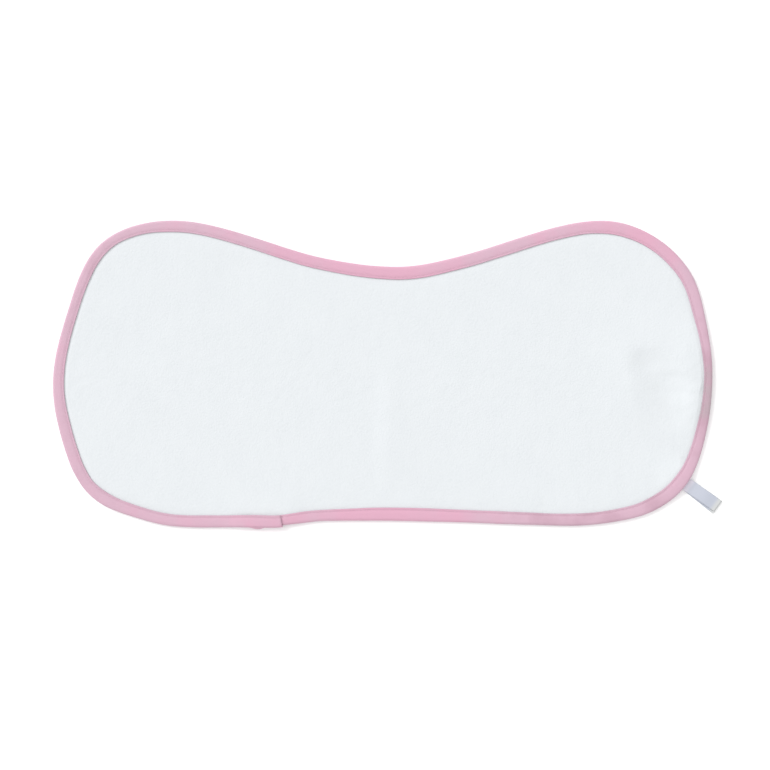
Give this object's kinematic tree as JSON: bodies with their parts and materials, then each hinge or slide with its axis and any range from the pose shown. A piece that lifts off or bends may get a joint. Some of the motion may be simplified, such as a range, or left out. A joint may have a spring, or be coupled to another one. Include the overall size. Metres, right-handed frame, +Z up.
{
  "type": "burp cloth",
  "caption": "Contoured towelling burp cloth lying flat, with a folded tape binding round its whole edge and a small blank care label at one corner.",
  "frame": {"origin": "on the surface that the cloth lies on, under the middle of the whole part's box, label included", "axes": "+X along the cloth's length towards the labelled end, +Y towards the hollowed neck edge, +Z up from the surface through the cloth"},
  "size_m": [0.5064, 0.2324, 0.0056],
  "materials": {
    "towelling": "short soft cotton pile, cool white, matt",
    "tape": "plain woven cotton tape, dusty pink, matt",
    "ribbon": "thin satin ribbon, blue-white, slight sheen"
  },
  "bodies": {
    "root": {"panel": "towelling", "binding": "tape", "care_label": "ribbon"}
  },
  "joints": []
}
